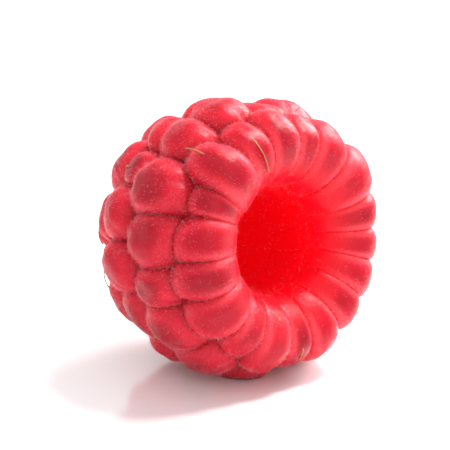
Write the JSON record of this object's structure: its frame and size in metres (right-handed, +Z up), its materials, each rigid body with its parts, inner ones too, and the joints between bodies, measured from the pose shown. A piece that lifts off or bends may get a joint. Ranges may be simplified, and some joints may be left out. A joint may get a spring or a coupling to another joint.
{
  "type": "raspberry",
  "caption": "Ripe raspberry as picked: a squat hollow berry of small rounded drupelets, lying on its side with its open mouth tipped up a little.",
  "frame": {"origin": "on the surface that the berry lies on, under the middle of its bounding box", "axes": "+Z up, -Y towards the side that the mouth of the hollow faces, +Y towards the tip"},
  "size_m": [0.0206, 0.0182, 0.0201],
  "materials": {
    "raspberry_skin": "ripe red fruit skin, soft and velvety, with a faint pale bloom"
  },
  "bodies": {
    "root": {"raspberry": "raspberry_skin"}
  },
  "joints": []
}
